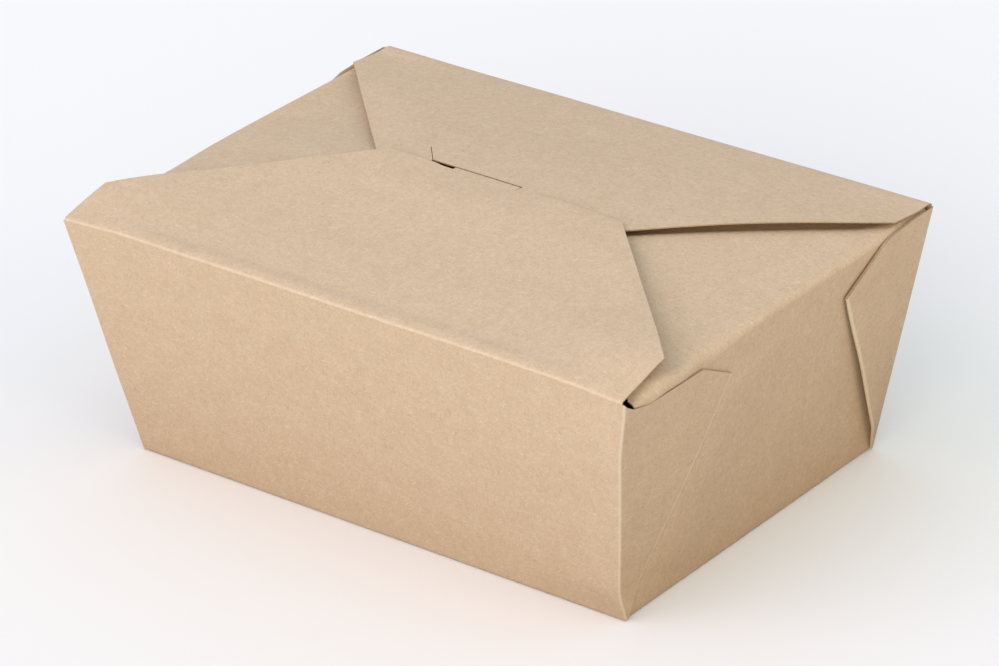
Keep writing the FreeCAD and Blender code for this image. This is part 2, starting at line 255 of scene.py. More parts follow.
def slope_arc(start, run, slopes, steps):
    """Points after start along a level run inwards, with the slope easing between two angles."""
    first, last = (math.radians(slope) for slope in slopes)
    radius = run / (math.sin(first) - math.sin(last))
    points = []
    for step in range(1, steps + 1):
        angle = math.asin(math.sin(first) - run * step / steps / radius)
        rise = radius * (math.cos(angle) - math.cos(first))
        points.append(start + Vector((-run * step / steps, rise)))
    return points


def side_section(base_half, rim_half, depth, fold, slopes, roll):
    """Middle line of a wall up to its rolled top, from the flat base on.

    depth is that of the middle line under the outer wall plane, fold the (out, up) point
    where the flap's upper skin starts. Returns the points of the base crease, the wall and
    the top crease.
    """
    way_up = Vector((rim_half - base_half, RIM_HEIGHT)).normalized()
    inward = Vector((-way_up.y, way_up.x))
    wall = Vector((base_half, 0)) + inward * depth
    out = Vector((1, 0))
    base_corner = meet(Vector((0, BOARD / 2)), out, wall, way_up)
    base_crease = fold_arc(base_corner, out, way_up, CREASE_RADIUS)
    slope = math.radians(slopes[0])
    flap_way = Vector((-math.cos(slope), math.sin(slope)))
    flap_start = Vector(fold) - Vector((math.sin(slope), math.cos(slope))) * (BOARD / 2)
    top_corner = meet(wall, way_up, flap_start, flap_way)
    top_crease = fold_arc(top_corner, way_up, flap_way, roll)
    low, high = base_crease[-1], top_crease[0]
    shares = [1 - (1 - step / WALL_STEPS) ** WALL_CROWDING for step in range(1, WALL_STEPS)]
    wall_points = [low.lerp(high, share) for share in shares]
    return base_crease, wall_points, top_crease


class Sheet:
    """Middle surface of folded board, as welded grids in millimetres."""

    def __init__(self):
        self.mesh = bmesh.new()
        self.crease = self.mesh.verts.layers.float.new("crease")
        self.blank = self.mesh.verts.layers.float_vector.new("blank")
        self.panel = self.mesh.faces.layers.int.new("panel")

    def grid(self, rows, panel):
        """Adds a grid of (place, blank place, crease share) points."""
        made = []
        for row in rows:
            verts = []
            for place, blank, crease in row:
                vert = self.mesh.verts.new(place)
                vert[self.blank] = blank
                vert[self.crease] = crease
                verts.append(vert)
            made.append(verts)
        for low, high in zip(made, made[1:]):
            for corners in zip(low, low[1:], high[1:], high):
                face = self.mesh.faces.new(corners)
                face[self.panel] = panel

    def weld(self):
        bmesh.ops.remove_doubles(self.mesh, verts=self.mesh.verts, dist=WELD_DISTANCE)
        bmesh.ops.recalc_face_normals(self.mesh, faces=self.mesh.faces)

    def cut(self, panel, lines, is_waste):
        """Splits a panel along (point, normal) planes, then drops the faces that are waste."""
        for point, normal in lines:
            faces = [face for face in self.mesh.faces if face[self.panel] == panel]
            edges = {edge for face in faces for edge in face.edges}
            verts = {vert for face in faces for vert in face.verts}
            parts = [*verts, *edges, *faces]
            bmesh.ops.bisect_plane(
                self.mesh, geom=parts, dist=CUT_TOLERANCE, plane_co=point, plane_no=normal
            )
        waste = [
            face
            for face in self.mesh.faces
            if face[self.panel] == panel and is_waste(face.calc_center_median())
        ]
        bmesh.ops.delete(self.mesh, geom=waste, context="FACES")

    def trim(self, panel, point, normal):
        """Cuts away a panel's part on the side that the normal points to."""
        point, normal = Vector(point), Vector(normal)
        self.cut(panel, [(point, normal)], lambda centre: (centre - point).dot(normal) > 0)


def thick_object(sheet, name, materials, warp):
    """A closed mesh of the sheet at its thickness, in metres."""
    middle = sheet.mesh
    for vert in middle.verts:
        vert.co = warp(vert.co, vert.link_faces[0][sheet.panel])
    middle.normal_update()
    solid = bmesh.new()
    crease = solid.verts.layers.float.new("crease")
    blank = solid.verts.layers.float_vector.new("blank")
    skins = []
    for side in (0.5, -0.5):
        skin = {}
        for vert in middle.verts:
            factor = min(vert.calc_shell_factor(), 1.5)
            place = vert.co + vert.normal * (side * BOARD * factor)
            skin[vert] = solid.verts.new(place * MM)
            skin[vert][crease] = vert[sheet.crease]
            skin[vert][blank] = vert[sheet.blank]
        skins.append(skin)
    upper, lower = skins
    for face in middle.faces:
        for skin, verts in ((upper, face.verts), (lower, reversed(face.verts))):
            solid.faces.new([skin[vert] for vert in verts]).smooth = True
    for edge in middle.edges:
        if len(edge.link_faces) == 1:
            loop = edge.link_loops[0]
            start, end = loop.vert, loop.link_loop_next.vert
            rim = solid.faces.new((upper[end], upper[start], lower[start], lower[end]))
            rim.material_index = 1
            rim.smooth = False
            for side_edge in rim.edges:
                side_edge.smooth = False
    bmesh.ops.recalc_face_normals(solid, faces=solid.faces)
    data = bpy.data.meshes.new(name)
    solid.to_mesh(data)
    for material in materials:
        data.materials.append(material)
    piece = bpy.data.objects.new(name, data)
    bpy.context.scene.collection.objects.link(piece)
    return piece


def even_steps(steps):
    """From -1 to 1 in even steps."""
    return [2 * step / steps - 1 for step in range(steps + 1)]


LENGTH_SHARES = even_steps(LENGTH_STEPS)
WIDTH_SHARES = even_steps(WIDTH_STEPS)


def corner_radius(height):
    """Radius of the rounded corner between a long wall and its web, softer near the rim."""
    low, high = CORNER_RADII
    return low + (high - low) * smooth(*CORNER_SOFTENS, height)


def web_plane(height):
    """Middle of the outer web layer at a height, as its distance along the length."""
    return lean_point(BASE_HALF_LENGTH, RIM_HALF_LENGTH, height) - BOARD / 2


def wall_half_length(height):
    """Where a long wall's flat part ends at a height, short of the corner's rounding."""
    return web_plane(height) - corner_radius(height)


def end_half_width(height):
    """Where an end wall ends at a height, inside the long walls."""
    return lean_point(BASE_HALF_WIDTH, RIM_HALF_WIDTH, height) - BOARD - END_CLEARANCE


def long_section(fold, slopes):
    return side_section(BASE_HALF_WIDTH, RIM_HALF_WIDTH, BOARD / 2, fold, slopes, CREASE_RADIUS)


def end_section(width_place):
    """Section of an end wall at a place across the box, where the roll is wider near the front."""
    near = math.exp(-(((width_place - NEAR_ROLL_PLACE) / NEAR_ROLL_SPREAD) ** 2))
    lean = (RIM_HALF_LENGTH - BASE_HALF_LENGTH) / RIM_HEIGHT
    set_back = 2 * (BOARD + LAYER_GAP)
    fold_height = RIM_HEIGHT - END_DROP
    fold_out = RIM_HALF_LENGTH - lean * END_DROP - set_back
    depth = set_back + BOARD / 2
    return side_section(
        BASE_HALF_LENGTH, RIM_HALF_LENGTH, depth, (fold_out, fold_height), END_SLOPES,
        END_ROLL + NEAR_ROLL * near,
    )


def strip_rows(points, length_at, side, crease, start_along):
    """Grid rows across the box's length for section points, with their blank places."""
    rows = []
    along = start_along
    last = points[0]
    for index, point in enumerate(points):
        along += (point - last).length
        last = point
        half = length_at(index, point)
        rows.append([
            (
                (share * half, side * point.x, point.y),
                (share * half, side * (BASE_HALF_WIDTH + along), 0),
                crease(index),
            )
            for share in LENGTH_SHARES
        ])
    return rows, along


def arc_crease(index):
    """1 in the middle of a fold's arc and 0 at its ends."""
    return 1 - abs(2 * index / FOLD_STEPS - 1)


def rim_crease(index):
    """A rim or base crease, less pale than a flat fold; its paleness is worn fibre and painted
    highlight.
    """
    return RIM_WEAR_AND_HIGHLIGHT * arc_crease(index)


def web_lift(web, height, share, reach):
    """How far a web stands off the end wall, from none at the corner to all at its fold."""
    heel, middle, tip = web["stand_off"]
    low, half_way, high = WEB_LIFT_HEIGHTS
    full = heel + (middle - heel) * smooth(low, half_way, height)
    full += (tip - middle) * smooth(half_way, high, height)
    return full * smooth(0.0, 1.0, share) * min(reach / WEB_LIFT_WIDTH, 1.0)


def web_columns(point, side, web, along):
    """One row of a web, from the long wall round the corner, the fold and back behind it."""
    out, height = point
    plane = web_plane(height)
    radius = corner_radius(height)
    heel, tip = web["heel"], web["tip"]
    fold = heel[0] + (tip[0] - heel[0]) * (height - heel[1]) / (tip[1] - heel[1])
    turn = (BOARD + LAYER_GAP) / 2
    flat_start = out - radius
    reach = max(flat_start - fold - turn, 0.02)
    flat_end = flat_start - reach
    blank_y = side * (BASE_HALF_WIDTH + along)
    columns = []

    def add(x, y, across, crease=0.0):
        columns.append(((x, side * y, height), (plane + across, blank_y, 0), crease))

    # The crease shares paint the corner and the fold paler: worn fibre and a painted highlight.
    for step in range(FOLD_STEPS + 1):
        angle = math.pi / 2 * step / FOLD_STEPS
        across = radius * (angle - 1)
        x = plane - radius * (1 - math.sin(angle))
        add(x, flat_start + radius * math.cos(angle), across, CORNER_WEAR_AND_HIGHLIGHT * arc_crease(step))
    shares = [step / WEB_STEPS for step in range(1, WEB_STEPS)]
    shares.append(1 - min(FOLD_PALE_WIDTH / reach, 0.8 / WEB_STEPS))
    for share in shares:
        lift = web_lift(web, height, share, reach)
        add(plane + lift, flat_start - reach * share, reach * share)
    lift = web_lift(web, height, 1.0, reach)
    for step in range(FOLD_STEPS + 1):
        angle = math.pi * step / FOLD_STEPS
        x = plane + lift - turn * (1 - math.cos(angle))
        add(x, flat_end - turn * math.sin(angle), reach + turn * angle, 1 - step / FOLD_STEPS)
    for share in reversed(shares):
        lift = web_lift(web, height, share, reach)
        add(plane + lift - 2 * turn, flat_start - reach * share, 2 * reach - reach * share)
    return columns


def add_long_wall(sheet, side, web, fold, slopes, with_top):
    """A long wall with its webs, up to its top crease or over it."""
    base_crease, wall, top_crease = long_section(fold, slopes)
    panel = BACK_WALL if side > 0 else FRONT_WALL
    base_half = base_flat()[0]

    def crease_length(index, point):
        share = index / FOLD_STEPS
        return base_half + (wall_half_length(base_crease[-1].y) - base_half) * share

    rows, along = strip_rows(base_crease, crease_length, side, rim_crease, 0)
    sheet.grid(rows, BASE)
    wall_points = [base_crease[-1], *wall, top_crease[0]]
    rows, rim_along = strip_rows(
        wall_points, lambda index, point: wall_half_length(point.y), side, lambda index: 0.0, along
    )
    sheet.grid(rows, panel)
    for end in (1, -1):
        web_rows = []
        web_along = along
        last = wall_points[0]
        for point in wall_points:
            web_along += (point - last).length
            last = point
            row = web_columns(point, side, web, web_along)
            web_rows.append([
                ((end * place[0], place[1], place[2]), (end * blank[0], blank[1], blank[2]), crease)
                for place, blank, crease in row
            ])
        sheet.grid(web_rows, WEB)
    if with_top:
        top_half = wall_half_length(top_crease[0].y)
        rows, rim_along = strip_rows(
            top_crease, lambda index, point: top_half, side, rim_crease, rim_along
        )
        sheet.grid(rows, BACK_FLAP)
        run = BACK_PAST_MIDDLE + top_crease[-1].x
        points = [top_crease[-1], *slope_arc(top_crease[-1], run, slopes, FLAP_STEPS * 2)]
        rows, _ = strip_rows(
            points, lambda index, point: top_half, side, lambda index: 0.0, rim_along
        )
        sheet.grid(rows, BACK_FLAP)


def base_flat():
    """Half length and half width of the base's flat part."""
    length = end_section(0.0)[0][0].x
    width = long_section((RIM_HALF_WIDTH, RIM_HEIGHT), BACK_SLOPES)[0][0].x
    return length, width


def add_base(sheet):
    half_length, half_width = base_flat()
    rows = []
    for y in (share * half_width for share in WIDTH_SHARES):
        places = [share * half_length for share in LENGTH_SHARES]
        rows.append([((x, y, BOARD / 2), (x, y, 0), 0.0) for x in places])
    sheet.grid(rows, BASE)


def add_end(sheet, end):
    """An end wall and the short flap over it, in columns up the wall."""
    half_width = base_flat()[1]
    fold_height = RIM_HEIGHT - END_DROP
    columns = []
    for share in WIDTH_SHARES:
        base_crease, wall, top_crease = end_section(share * RIM_HALF_WIDTH)
        flap = slope_arc(top_crease[-1], END_REACH - END_ROLL, END_SLOPES, FLAP_STEPS)
        first_top = len(base_crease) + len(wall)
        column = []
        along = 0.0
        last = base_crease[0]
        for index, point in enumerate((*base_crease, *wall, *top_crease, *flap)):
            along += (point - last).length
            last = point
            rise = min(index / FOLD_STEPS, 1.0)
            on_wall = index < first_top + FOLD_STEPS
            height = min(point.y, fold_height) if on_wall else fold_height
            half = half_width + (end_half_width(height) - half_width) * rise
            crease = rim_crease(index) if index <= FOLD_STEPS else 0.0
            column.append((
                (end * point.x, share * half, point.y),
                (end * (BASE_HALF_LENGTH + along), share * half, 0),
                crease,
            ))
        columns.append(column)
    sheet.grid([column[: first_top + 1] for column in columns], END_WALL)
    sheet.grid([column[first_top:] for column in columns], END_FLAPS[end])


def cut_web(sheet, side, web):
    """Cuts both layers of the webs along their top, where they show above the fold's tip."""
    corners = web["cut"]
    lines = []
    for (out_a, up_a), (out_b, up_b) in zip(corners, corners[1:]):
        normal = Vector((0, -side * (up_b - up_a), out_b - out_a))
        lines.append((Vector((0, side * out_a, up_a)), normal))

    def is_waste(centre):
        out = side * centre.y
        if out < 0:
            return False
        for (out_a, up_a), (out_b, up_b) in zip(corners, corners[1:]):
            if out_a <= out <= out_b:
                return centre.z > up_a + (up_b - up_a) * (out - out_a) / (out_b - out_a)
        return out < corners[0][0]

    sheet.cut(WEB, lines, is_waste)


def trim_tapered(sheet, panel, side, half_widths, reach):
    """Cuts a long flap's sides, its 45-degree tapers and its rounded tip corners.

    half_widths gives the flap's half width at each end of the box, reach that from the fold.
    """
    fold = side * RIM_HALF_WIDTH
    for end, half_width in half_widths.items():
        middle = half_width - (reach - FLAP_SIDE)
        sheet.trim(panel, (end * half_width, 0, 0), (end, 0, 0))
        sheet.trim(panel, (end * half_width, fold - side * FLAP_SIDE, 0), (end, -side, 0))
        centre_x = middle - TIP_RADIUS * math.tan(math.pi / 8)
        centre_y = reach - TIP_RADIUS
        for step in (1, 2):
            angle = math.pi / 4 + math.pi / 12 * step
            way = Vector((math.cos(angle), math.sin(angle)))
            point = Vector((centre_x, centre_y)) + way * TIP_RADIUS
            place = (end * point.x, fold - side * point.y, 0)
            sheet.trim(panel, place, (end * way.x, -side * way.y, 0))


def trim_end_flap(sheet, end):
    """Cuts an end flap's sides and its tapers."""
    for side in (1, -1):
        half_width = RIM_HALF_WIDTH - END_INSETS[side]
        sheet.trim(END_FLAPS[end], (end * RIM_HALF_LENGTH, side * half_width, 0), (0, side, 0))
        start = (end * (RIM_HALF_LENGTH - END_TAPER_START), side * half_width, 0)
        sheet.trim(END_FLAPS[end], start, (-end, side, 0))


def cut_slit(sheet):
    """The lock slit and its slanted leg in the back flap."""
    planes = [
        (Vector((SLIT_LEFT, 0, 0)), Vector((1, 0, 0))),
        (Vector((SLIT_RIGHT, 0, 0)), Vector((1, 0, 0))),
        (Vector((0, SLIT_NEAR, 0)), Vector((0, 1, 0))),
        (Vector((0, SLIT_FAR, 0)), Vector((0, 1, 0))),
    ]

    def in_slit(centre):
        return SLIT_LEFT < centre.x < SLIT_RIGHT and SLIT_NEAR < centre.y < SLIT_FAR

    sheet.cut(BACK_FLAP, planes, in_slit)
    angle = math.radians(LEG_ANGLE)
    way = Vector((-math.cos(angle), math.sin(angle), 0))
    across = Vector((math.sin(angle), math.cos(angle), 0))
    start = Vector((SLIT_LEFT, SLIT_FAR - 0.1, 0))
    end = start + way * LEG_LENGTH
    planes = [(start, across), (start + across * LEG_CUT, across), (end, way)]

    def in_leg(centre):
        flat = Vector((centre.x, centre.y, 0)) - start
        return 0 < flat.dot(across) < LEG_CUT and centre.y > SLIT_FAR and flat.dot(way) < LEG_LENGTH

    sheet.cut(BACK_FLAP, planes, in_leg)


def board_wave(place):
    """A slight unevenness of the board, none at the base, in millimetres."""
    height = smooth(2.0, 40.0, place.z)
    spot = place * BOARD_WAVE_SCALE
    sway = Vector([noise.noise(spot + shift) for shift in BOARD_WAVE_SHIFTS])
    return sway * (BOARD_WAVE * height)


def swell(share):
    """A bulge over a share from 0 to 1, none at both ends."""
    return math.sin(math.pi * min(max(share, 0.0), 1.0))


def lock_lift(x, y):
    """How much the middle of the lid bulges around the lock."""
    across = 1 - smooth(20.0, 62.0, abs(x + 12.0))
    return LOCK_LIFT * across * smooth(-20.0, 3.5, y) * (1 - smooth(16.0, 60.0, y))


def front_flap_strain(x, y):
    """The front flap lies flatter in its middle, its right corner stands up, its tab is in."""
    y = min(y, FRONT_PAST_MIDDLE)
    share = (y + RIM_HALF_WIDTH) / (RIM_HALF_WIDTH - 14.0)
    hollow = FRONT_HOLLOW * swell(max(share, 0.0) ** 0.72) * (1 - smooth(62.0, 112.0, abs(x)))
    corner = FRONT_CORNER_LIFT * swell(max(share, 0.0) ** 0.55) * smooth(55.0, 112.0, x)
    pressed = smooth(-14.0, 3.5, y) * smooth(-40.0, -21.0, x) * (1 - smooth(6.0, 26.0, x))
    from_fold = y + RIM_HALF_WIDTH
    strain = corner * smooth(6.0, 22.0, from_fold) - hollow * smooth(0.8, 8.0, from_fold)
    return strain + lock_lift(x, y) - TAB_PRESS * pressed


def back_flap_strain(x, y):
    """The back flap hangs at its corners, more at the left, and the tab presses its tongue."""
    from_fold = max(RIM_HALF_WIDTH - y, 0.0)
    corners = BACK_CORNER_DROP * swell((from_fold / 62.0) ** 0.625) * smooth(60.0, 112.0, abs(x))
    corners *= smooth(0.8, 8.0, from_fold)
    inside_taper = RIM_HALF_LENGTH - BACK_LEFT_INSET + x - max(from_fold - FLAP_SIDE, 0.0)
    left = BACK_LEFT_DROP * (1 - smooth(0.0, 22.0, inside_taper)) * smooth(20.0, 57.0, from_fold)
    tongue = 0.0
    if y < (SLIT_NEAR + SLIT_FAR) / 2:
        tongue = TONGUE_DIP * smooth(SLIT_LEFT, -21.0, x) * (1 - smooth(1.0, SLIT_RIGHT, x))
    return lock_lift(x, y) - corners - left - tongue


def end_flap_strain(x, y):
    """The end flaps dip under the long ones, and stand up at the front corners' folds."""
    inwards = RIM_HALF_LENGTH - abs(x)
    front = END_FRONT_DIP * smooth(4.0, 14.0, inwards) * smooth(38.0, 70.0, -y)
    back = smooth(2.0, 14.0, inwards)
    if x < 0:
        back *= END_BACK_DIP * smooth(-8.0, 30.0, y)
    else:
        taper = max(RIM_HALF_WIDTH - FLAP_SIDE - y, 0.0)
        under = smooth(-2.0, 9.0, inwards - FLAP_INSET - taper)
        back *= END_UNDER_DIP * under * smooth(-16.0, 6.0, y)
    hump = END_CORNER_HUMP * smooth(0.0, 4.0, inwards) * (1 - smooth(5.0, 15.0, inwards))
    hump *= smooth(50.0, 66.0, -y) * (1 - smooth(67.0, 75.0, -y))
    return hump - front - back


def end_wall_strain(y, z):
    """The end wall swells just beyond the fold of the front web that is glued to it."""
    heel, tip = FRONT_WEB["heel"], FRONT_WEB["tip"]
    fold = heel[0] + (tip[0] - heel[0]) * z / tip[1]
    beyond = fold + y
    upright = smooth(3.0, 14.0, z) * (1 - smooth(64.0, 76.0, z))
    return END_WALL_SWELL * smooth(0.0, 2.5, beyond) * (1 - smooth(10.0, 42.0, beyond)) * upright


def end_top_strain(x, y, z):
    """Over the front web the end's fold bulges out, and it is pulled down at the corner."""
    inwards = RIM_HALF_LENGTH - abs(x)
    beside = smooth(42.0, 54.0, -y) * (1 - smooth(62.0, 73.0, -y))
    bulge = END_FOLD_BULGE * smooth(80.4, 81.8, z) * (1 - smooth(2.0, 5.0, inwards)) * beside
    dip = END_CORNER_DIP * smooth(60.0, 76.0, -y) * smooth(60.0, 83.0, z)
    dip *= 1 - smooth(3.0, 12.0, inwards)
    return Vector((math.copysign(bulge, x), 0, -dip))


def corner_bow(x, y, z):
    """The right front corner is bowed, towards the left of the picture."""
    height = min(z, RIM_HEIGHT)
    along = smooth(0.5, 1.0, x / lean_point(BASE_HALF_LENGTH, RIM_HALF_LENGTH, height))
    across = smooth(0.45, 1.0, -y / lean_point(BASE_HALF_WIDTH, RIM_HALF_WIDTH, height))
    bow = CORNER_BOW * smooth(0.0, 12.0, height) * (1 - 0.7 * smooth(62.0, RIM_HEIGHT, height))
    return CORNER_BOW_WAY * (bow * along * across)


def warp(place, panel):
    """Where a point of the ideal fold lies on the real, slightly strained one."""
    moved = place.copy()
    x, y, z = place
    near_rim = smooth(55.0, RIM_HEIGHT, z) * (1 - smooth(2, 45, y + RIM_HALF_WIDTH))
    middle, corner = RIM_BOW
    outer = smooth(RIM_HALF_LENGTH - 27, RIM_HALF_LENGTH, abs(x))
    moved.z += (middle + (corner - middle) * outer) * near_rim
    if panel in (FRONT_FLAP, TAB):
        moved.z += front_flap_strain(x, y)
    elif panel == BACK_FLAP:
        moved.z += back_flap_strain(x, y)
    elif panel in END_FLAPS.values():
        moved.z += end_flap_strain(x, y)
    elif panel == END_WALL:
        moved.x += math.copysign(end_wall_strain(y, z), x)
    if panel == END_WALL or panel in END_FLAPS.values():
        moved += end_top_strain(x, y, z)
    return moved + corner_bow(x, y, z) + board_wave(place)


def front_section():
    """Middle line of the front flap, from the top of the wall to the tab's foot."""
    fold = (RIM_HALF_WIDTH, FRONT_HINGE_HEIGHT)
    top_crease = long_section(fold, FRONT_SLOPES)[2]
    start = top_crease[-1]
    first_run = FRONT_BEND - (RIM_HALF_WIDTH - start.x)
    bend = slope_arc(start, first_run, FRONT_SLOPES[:2], FLAP_STEPS)
    last_run = bend[-1].x + FRONT_PAST_MIDDLE
    rest = slope_arc(bend[-1], last_run, FRONT_SLOPES[1:], FLAP_STEPS)
    return top_crease, [start, *bend, *rest]


def tab_section(tip):
    """Middle line of the lock tab, bent down from the tip to a circle about the fold."""
    hinge = Vector((RIM_HALF_WIDTH, FRONT_HINGE_HEIGHT))
    radius = RIM_HALF_WIDTH + FRONT_PAST_MIDDLE + TAB_REACH - BOARD / 2
    bend = TAB_BEND - BOARD / 2
    down = tip.y - bend

    def on_circle(height):
        return hinge.x - math.sqrt(radius**2 - (height - hinge.y) ** 2)

    edge = on_circle(down)
    start = Vector((edge + bend, tip.y))
    points = [tip, tip.lerp(start, 0.5), start]
    for step in range(1, FOLD_STEPS + 1):
        angle = math.pi / 2 * step / FOLD_STEPS
        points.append(Vector((edge + bend - bend * math.sin(angle), down + bend * math.cos(angle))))
    foot = tip.y + BOARD / 2 - TAB_DROP
    for step in range(1, 9):
        height = down + (foot - down) * step / 8
        points.append(Vector((on_circle(height), height)))
    return points


def cut_nick(sheet):
    """The short cut beside the tab's right side."""
    planes = [
        (Vector((TAB_RIGHT, 0, 0)), Vector((1, 0, 0))),
        (Vector((TAB_RIGHT + LEG_CUT, 0, 0)), Vector((1, 0, 0))),
        (Vector((0, TAB_NICK, 0)), Vector((0, 1, 0))),
    ]

    def in_nick(centre):
        return TAB_RIGHT < centre.x < TAB_RIGHT + LEG_CUT and centre.y > TAB_NICK

    sheet.cut(FRONT_FLAP, planes, in_nick)


def trim_tab(sheet, foot):
    """Cuts the tab's sides and rounds its corners at the height of its foot."""
    for edge, way in ((TAB_LEFT, -1), (TAB_RIGHT, 1)):
        sheet.trim(TAB, (edge, 0, 0), (way, 0, 0))
        centre = Vector((edge - way * TAB_CORNER, 0, foot + TAB_CORNER))
        for step in range(1, 5):
            angle = math.pi / 2 * step / 5
            corner_way = Vector((way * math.cos(angle), 0, -math.sin(angle)))
            sheet.trim(TAB, centre + corner_way * TAB_CORNER, corner_way)


def make_front_flap(materials):
    """The front flap with its crease and its lock tab."""
    sheet = Sheet()
    top_crease, flap = front_section()
    half = wall_half_length(top_crease[0].y)
    tip = flap[-1]
    along = FRONT_FLAP_ALONG
    strips = (
        (top_crease, rim_crease, FRONT_FLAP),
        (flap, lambda index: 0.0, FRONT_FLAP),
        (tab_section(tip), lambda index: 0.0, TAB),
    )
    for points, crease, panel in strips:
        rows, along = strip_rows(points, lambda index, point: half, -1, crease, along)
        sheet.grid(rows, panel)
    sheet.weld()
    halves = {1: RIM_HALF_LENGTH - FRONT_RIGHT_INSET, -1: RIM_HALF_LENGTH - FLAP_INSET}
    trim_tapered(sheet, FRONT_FLAP, -1, halves, RIM_HALF_WIDTH + FRONT_PAST_MIDDLE)
    cut_nick(sheet)
    trim_tab(sheet, tip.y + BOARD / 2 - TAB_DROP)
    return thick_object(sheet, "front_flap_board", materials, warp)


def make_carton(materials):
    """Base, walls, webs, end flaps and back flap, in one sheet."""
    sheet = Sheet()
    add_base(sheet)
    add_long_wall(sheet, -1, FRONT_WEB, (RIM_HALF_WIDTH, FRONT_HINGE_HEIGHT), FRONT_SLOPES, False)
    add_long_wall(sheet, 1, BACK_WEB, (RIM_HALF_WIDTH, RIM_HEIGHT), BACK_SLOPES, True)
    for end in (1, -1):
        add_end(sheet, end)
    sheet.weld()
    cut_web(sheet, -1, FRONT_WEB)
    cut_web(sheet, 1, BACK_WEB)
    halves = {1: RIM_HALF_LENGTH - FLAP_INSET, -1: RIM_HALF_LENGTH - BACK_LEFT_INSET}
    trim_tapered(sheet, BACK_FLAP, 1, halves, RIM_HALF_WIDTH + BACK_PAST_MIDDLE)
    cut_slit(sheet)
    for end in (1, -1):
        trim_end_flap(sheet, end)
    return thick_object(sheet, "carton_board", materials, warp)


class Shading:
    """Builds a material's nodes, all driven by the place on the flat blank in millimetres."""

    def __init__(self, name):
        self.material = bpy.data.materials.new(name)
        self.material.use_nodes = True
        self.nodes = self.material.node_tree.nodes
        self.links = self.material.node_tree.links
        self.shader = self.nodes["Principled BSDF"]

    def feed(self, socket, value):
        """Sets a socket, or links it when the value is another node's output."""
        if isinstance(value, bpy.types.NodeSocket):
            self.links.new(value, socket)
        else:
            socket.default_value = value

    def attribute(self, name, output):
        node = self.nodes.new("ShaderNodeAttribute")
        node.attribute_name = name
        return node.outputs[output]

    def noise(self, place, scale, detail, roughness):
        node = self.nodes.new("ShaderNodeTexNoise")
        self.feed(node.inputs["Vector"], place)
        node.inputs["Scale"].default_value = scale
        node.inputs["Detail"].default_value = detail
        node.inputs["Roughness"].default_value = roughness
        return node.outputs["Fac"]

    def stretched(self, place, angle, length, width, offset):
        """Places turned and scaled, so that a noise of scale 1 has grains that long and wide."""
        turn = self.nodes.new("ShaderNodeMapping")
        turn.vector_type = "POINT"
        self.feed(turn.inputs["Vector"], place)
        turn.inputs["Rotation"].default_value = (0, 0, math.radians(angle))
        turn.inputs["Location"].default_value = (offset, offset, offset)
        scale = self.nodes.new("ShaderNodeVectorMath")
        scale.operation = "MULTIPLY"
        self.feed(scale.inputs[0], turn.outputs["Vector"])
        scale.inputs[1].default_value = (1 / length, 1 / width, 1)
        return scale.outputs["Vector"]

    def spread(self, value, low, high, to_low=0.0, to_high=1.0):
        """Maps a range of a value to another, clamped."""
        node = self.nodes.new("ShaderNodeMapRange")
        self.feed(node.inputs["Value"], value)
        node.inputs["From Min"].default_value = low
        node.inputs["From Max"].default_value = high
        node.inputs["To Min"].default_value = to_low
        node.inputs["To Max"].default_value = to_high
        return node.outputs["Result"]

    def math(self, operation, first, second):
        node = self.nodes.new("ShaderNodeMath")
        node.operation = operation
        self.feed(node.inputs[0], first)
        self.feed(node.inputs[1], second)
        return node.outputs["Value"]

    def mix(self, share, first, second):
        """A colour between two, by a share."""
        node = self.nodes.new("ShaderNodeMix")
        node.data_type = "RGBA"
        colours = [socket for socket in node.inputs if socket.type == "RGBA"]
        self.feed(node.inputs["Factor"], share)
        for socket, colour in zip(colours, (first, second)):
            self.feed(socket, colour)
        return next(socket for socket in node.outputs if socket.type == "RGBA")

    def bump(self, height, strength, distance):
        node = self.nodes.new("ShaderNodeBump")
        self.feed(node.inputs["Height"], height)
        node.inputs["Strength"].default_value = strength
        node.inputs["Distance"].default_value = distance
        self.links.new(node.outputs["Normal"], self.shader.inputs["Normal"])


def rgba(colour):
    return (*colour, 1.0)


